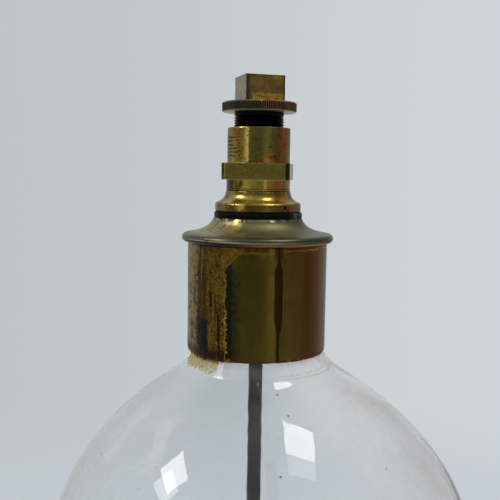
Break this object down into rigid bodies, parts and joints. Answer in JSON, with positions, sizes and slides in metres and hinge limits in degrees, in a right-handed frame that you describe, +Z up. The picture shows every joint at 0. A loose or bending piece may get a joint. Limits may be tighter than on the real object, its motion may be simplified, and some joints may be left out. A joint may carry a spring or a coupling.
{
  "type": "oil lamp",
  "caption": "Clear glass globe reservoir with a cemented brass collar, spun cap, screwed burner body on a dark wick tube, and a square-headed screw stopper with a knurled flange.",
  "frame": {"origin": "middle of the globe's footprint, on the surface it stands on", "axes": "+Z up along the brass work; +X to the right and +Y away from someone facing the lamp's marked side"},
  "size_m": [0.171, 0.171, 0.2753],
  "materials": {
    "clear_glass": "clear, thin, hand blown, with a few seeds",
    "old_plaster": "yellowed, chalky",
    "cork": "raw, open grained",
    "tarnished_brass": "heavily tarnished, spotted and streaked",
    "dull_brass": "satin, olive grey tarnish",
    "iron_wire": "drawn wire, dull",
    "bush_brass": "turned, dull",
    "black_leather": "oil soaked, black",
    "foot_brass": "turned, worn bright with brown tarnish",
    "barrel_brass": "turned, worn bright with olive and brown tarnish",
    "dark_iron": "matt, drawn tube",
    "cotton": "plaited cotton",
    "packing": "oiled cotton yarn",
    "nut_brass": "machined, dull",
    "stopper_leather": "oil soaked, black",
    "blackened_thread": "blackened with old oil and graphite",
    "flange_brass": "dark tarnish, straight knurl",
    "head_brass": "flat faces, brown tarnish"
  },
  "bodies": {
    "reservoir": {"glass_globe": "clear_glass", "neck_cement": "old_plaster", "neck_gasket": "cork", "collar": "tarnished_brass", "collar_cap": "dull_brass", "rim_wire": "iron_wire", "cap_bush": "bush_brass"},
    "burner_seal": {"burner_washer": "black_leather"},
    "burner": {"burner_foot": "foot_brass", "burner_barrel": "barrel_brass", "wick_tube": "dark_iron", "wick": "cotton", "tube_packing": "packing", "tube_nut": "nut_brass"},
    "stopper_seal": {"stopper_washer": "stopper_leather"},
    "stopper": {"threaded_shank": "blackened_thread", "knurled_flange": "flange_brass", "square_head": "head_brass"}
  },
  "joints": [
    {"name": "burner_lift", "type": "slide", "parent": "reservoir", "child": "burner_seal", "axis": [0, 0, 1], "range_m": [0, 0.0088]},
    {"name": "burner_turn", "type": "hinge", "parent": "burner_seal", "child": "burner", "pos_m": [-0.0039, 0, 0.224], "axis": [0, 0, 1], "range_deg": [0, 3240]},
    {"name": "stopper_lift", "type": "slide", "parent": "burner", "child": "stopper_seal", "axis": [0, 0, 1], "range_m": [-0.00343, 0.0093]},
    {"name": "stopper_turn", "type": "hinge", "parent": "stopper_seal", "child": "stopper", "pos_m": [-0.0039, 0, 0.2608], "axis": [0, 0, 1], "range_deg": [-1260, 3420]}
  ],
  "couplings": [
    {"joint": "burner_lift", "follows": "burner_turn", "m_per_rad": 0.00015549},
    {"joint": "stopper_lift", "follows": "stopper_turn", "m_per_rad": 0.00015549}
  ]
}
